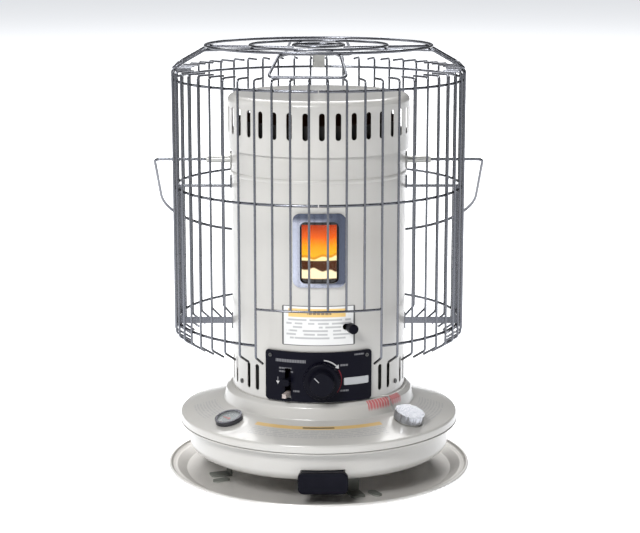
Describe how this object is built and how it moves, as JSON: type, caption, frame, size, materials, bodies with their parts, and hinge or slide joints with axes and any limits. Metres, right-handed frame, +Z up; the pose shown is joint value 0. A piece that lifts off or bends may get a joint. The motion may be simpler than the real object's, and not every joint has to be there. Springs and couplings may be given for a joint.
{
  "type": "kerosene heater",
  "caption": "Portable convection kerosene heater: round fuel tank and drip tray, tall louvred cabinet with flame window, wire guard with hinged top grille, and swinging bail handle.",
  "frame": {"origin": "centre of the footprint on the floor, under the cabinet axis", "axes": "+Z up along the cabinet axis, -Y towards the front with the window and the knob, +X to the heater's right as seen from the front"},
  "size_m": [0.4784, 0.445, 0.6262],
  "materials": {
    "tray_metal": "satin grey-tan paint",
    "leg_steel": "dull grey-green paint",
    "tank_paint": "gloss off-white enamel",
    "cabinet_paint": "gloss off-white enamel",
    "cap_paint": "gloss off-white enamel",
    "zinc_steel": "dull zinc plate",
    "bright_trim": "bright plated trim",
    "black_rubber": "matte",
    "dial_paint": "matte white",
    "needle_paint": "matte red",
    "clear_lens": "clear",
    "brass": "plain",
    "cork": "matte cork",
    "black_plastic": "semi-gloss",
    "cell_jacket": "semi-gloss jacket",
    "dark_steel": "dark plated",
    "shield_black": "matte heat-proof black",
    "heat_pane": "slightly amber heat-proof sheet",
    "label_face": "printed film with plain bars",
    "plate_grey": "blank plate",
    "wick_fibre": "glass fibre",
    "burner_steel": "heat-tinted",
    "chimney_glass": "clear heat-proof",
    "pale_plastic": "matte",
    "coil_wire": "resistance wire",
    "cast_weight": "plain",
    "guard_chrome": "bright plated wire"
  },
  "bodies": {
    "heater": {"bail_lugs": "zinc_steel", "battery_case": "black_plastic", "burner_seat": "zinc_steel", "cabinet": "cabinet_paint", "cabinet_cap": "cap_paint", "cabinet_label": "label_face", "cabinet_screws": "dark_steel", "cap_tether": "zinc_steel", "control_panel": "black_plastic", "draft_tube": "zinc_steel", "drip_tray": "tray_metal", "filler_neck": "zinc_steel", "gauge_body": "bright_trim", "gauge_dial": "dial_paint", "gauge_lens": "clear_lens", "gear_bracket": "zinc_steel", "grille_hinge_plate": "zinc_steel", "guard_lower_arms": "guard_chrome", "guard_rings_front": "guard_chrome", "guard_rings_rear": "guard_chrome", "guard_upper_arms": "guard_chrome", "guard_wires_front": "guard_chrome", "guard_wires_rear": "guard_chrome", "heat_shield": "shield_black", "legs": "leg_steel", "panel_plate": "plate_grey", "panel_screws": "dark_steel", "sensor_bracket": "zinc_steel", "tank_lower": "tank_paint", "tank_upper": "tank_paint", "wick_guide": "zinc_steel", "window_frame": "bright_trim", "window_pane": "heat_pane"},
    "fuel_cap": {"filler_cap": "bright_trim", "filler_cap_seal": "black_rubber"},
    "needle": {"gauge_needle": "needle_paint"},
    "float": {"float_arm": "brass", "fuel_float": "cork"},
    "drawer": {"battery_drawer": "black_plastic", "battery_cells": "cell_jacket"},
    "knob": {"wick_knob": "black_plastic", "knob_shaft": "zinc_steel", "wick_pinion": "brass"},
    "wick": {"wick": "wick_fibre", "wick_carrier": "zinc_steel"},
    "burner": {"burner_drum": "burner_steel", "burner_outer_sleeve": "burner_steel", "burner_inner_sleeve": "burner_steel", "flame_spreader": "burner_steel", "chimney_glass": "chimney_glass", "burner_knob": "black_plastic"},
    "igniter": {"igniter_button": "pale_plastic", "igniter_arm": "zinc_steel", "igniter_coil": "coil_wire"},
    "shutoff": {"shutoff_lever": "black_plastic"},
    "weight": {"sensor_weight": "cast_weight"},
    "top_grille": {"grille_rings": "guard_chrome", "grille_loops": "guard_chrome", "grille_hub": "guard_chrome"},
    "bail": {"bail_handle": "guard_chrome"}
  },
  "joints": [
    {"name": "bail_swing", "type": "hinge", "parent": "heater", "child": "bail", "pos_m": [0, 0, 0.46], "axis": [1, 0, 0], "range_deg": [0, 248]},
    {"name": "top_grille_open", "type": "hinge", "parent": "heater", "child": "top_grille", "pos_m": [0, 0.204, 0.5955], "axis": [-1, 0, 0], "range_deg": [0, 105]},
    {"name": "wick_knob_turn", "type": "hinge", "parent": "heater", "child": "knob", "pos_m": [0.0045, -0.13, 0.164], "axis": [0, -1, 0], "range_deg": [0, 150]},
    {"name": "wick_slide", "type": "slide", "parent": "heater", "child": "wick", "axis": [0, 0, 1], "range_m": [-0.0197, 0]},
    {"name": "shutoff_press", "type": "slide", "parent": "heater", "child": "shutoff", "axis": [0, 0, -1], "range_m": [0, 0.008], "stiffness_N_per_m": 120},
    {"name": "igniter_press", "type": "slide", "parent": "heater", "child": "igniter", "axis": [0.3338, 0.9426, 0], "range_m": [0, 0.004], "stiffness_N_per_m": 150},
    {"name": "burner_shift", "type": "hinge", "parent": "heater", "child": "burner", "pos_m": [0, 0, 0.162], "axis": [0, 0, 1], "range_deg": [-2.2, 2.2]},
    {"name": "cap_turn", "type": "hinge", "parent": "heater", "child": "fuel_cap", "pos_m": [0.12679, -0.11022, 0.10045], "axis": [0.2085, -0.1813, 0.9611], "range_deg": [0, 90]},
    {"name": "float_swing", "type": "hinge", "parent": "heater", "child": "float", "pos_m": [-0.12075, -0.10497, 0.066], "axis": [-0.7547, -0.6561, 0], "range_deg": [-18, 18]},
    {"name": "needle_turn", "type": "hinge", "parent": "heater", "child": "needle", "pos_m": [-0.12679, -0.11022, 0.10045], "axis": [-0.2085, -0.1813, 0.9611], "range_deg": [-46, 46]},
    {"name": "battery_drawer_slide", "type": "slide", "parent": "heater", "child": "drawer", "axis": [0, -1, 0], "range_m": [0, 0.095]},
    {"name": "sensor_swing", "type": "hinge", "parent": "heater", "child": "weight", "pos_m": [-0.06859, -0.06859, 0.186], "axis": [-0.7071, -0.7071, 0], "range_deg": [-8, 8]}
  ],
  "couplings": [
    {"joint": "wick_slide", "follows": "wick_knob_turn", "m_per_rad": -0.0075},
    {"joint": "needle_turn", "follows": "float_swing", "ratio": 2.5}
  ]
}
